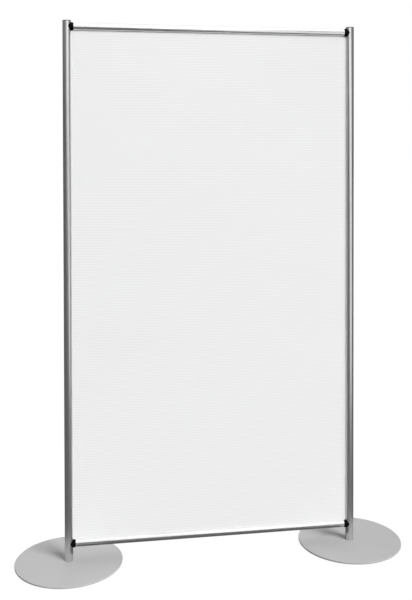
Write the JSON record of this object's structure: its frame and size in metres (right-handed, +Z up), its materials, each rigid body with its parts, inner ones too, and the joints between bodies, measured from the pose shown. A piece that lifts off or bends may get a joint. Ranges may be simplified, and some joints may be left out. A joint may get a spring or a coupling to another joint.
{
  "type": "partition wall",
  "caption": "Free-standing partition wall: a white hollow-chamber sheet held between slotted round posts and rails, on round swivelling base plates.",
  "frame": {"origin": "on the floor, midway between the two posts", "axes": "+Z up, X along the wall from the left post to the right post, Y square to the sheet with the viewer on the -Y side"},
  "size_m": [1.327, 0.355, 1.8],
  "materials": {
    "post_aluminium": "satin, lengthwise brushed and anodised",
    "rail_aluminium": "satin, anodised",
    "black_plastic": "fine moulded texture",
    "plate_paint": "fine silver-grey powder coat",
    "zinc_steel": "bright zinc",
    "white_nylon": "smooth",
    "pad_rubber": "matt",
    "clear_seal": "soft, milky",
    "panel_sheet": "opal white, translucent, fine horizontal flutes"
  },
  "bodies": {
    "wall": {"left_post": "post_aluminium", "left_post_cap": "black_plastic", "left_foot_insert": "zinc_steel", "left_insert_set_screw": "zinc_steel", "left_base_screw": "zinc_steel", "left_edge_seal": "clear_seal", "right_post": "post_aluminium", "right_post_cap": "black_plastic", "right_foot_insert": "zinc_steel", "right_insert_set_screw": "zinc_steel", "right_base_screw": "zinc_steel", "right_edge_seal": "clear_seal", "top_rail": "rail_aluminium", "top_edge_seal": "clear_seal", "bottom_rail": "rail_aluminium", "bottom_edge_seal": "clear_seal", "top_left_saddle": "black_plastic", "top_left_saddle_screw": "zinc_steel", "top_left_slot_nut": "zinc_steel", "top_left_rail_set_screw": "zinc_steel", "top_right_saddle": "black_plastic", "top_right_saddle_screw": "zinc_steel", "top_right_slot_nut": "zinc_steel", "top_right_rail_set_screw": "zinc_steel", "bottom_left_saddle": "black_plastic", "bottom_left_saddle_screw": "zinc_steel", "bottom_left_slot_nut": "zinc_steel", "bottom_left_rail_set_screw": "zinc_steel", "bottom_right_saddle": "black_plastic", "bottom_right_saddle_screw": "zinc_steel", "bottom_right_slot_nut": "zinc_steel", "bottom_right_rail_set_screw": "zinc_steel", "panel": "panel_sheet"},
    "left_foot": {"left_base_plate": "plate_paint", "left_base_pads": "pad_rubber", "left_swivel_washer": "white_nylon"},
    "right_foot": {"right_base_plate": "plate_paint", "right_base_pads": "pad_rubber", "right_swivel_washer": "white_nylon"}
  },
  "joints": [
    {"name": "left_foot_swivel", "type": "hinge", "parent": "wall", "child": "left_foot", "pos_m": [-0.486, 0, 0.007], "axis": [0, 0, 1], "continuous": true},
    {"name": "right_foot_swivel", "type": "hinge", "parent": "wall", "child": "right_foot", "pos_m": [0.486, 0, 0.007], "axis": [0, 0, 1], "continuous": true}
  ]
}
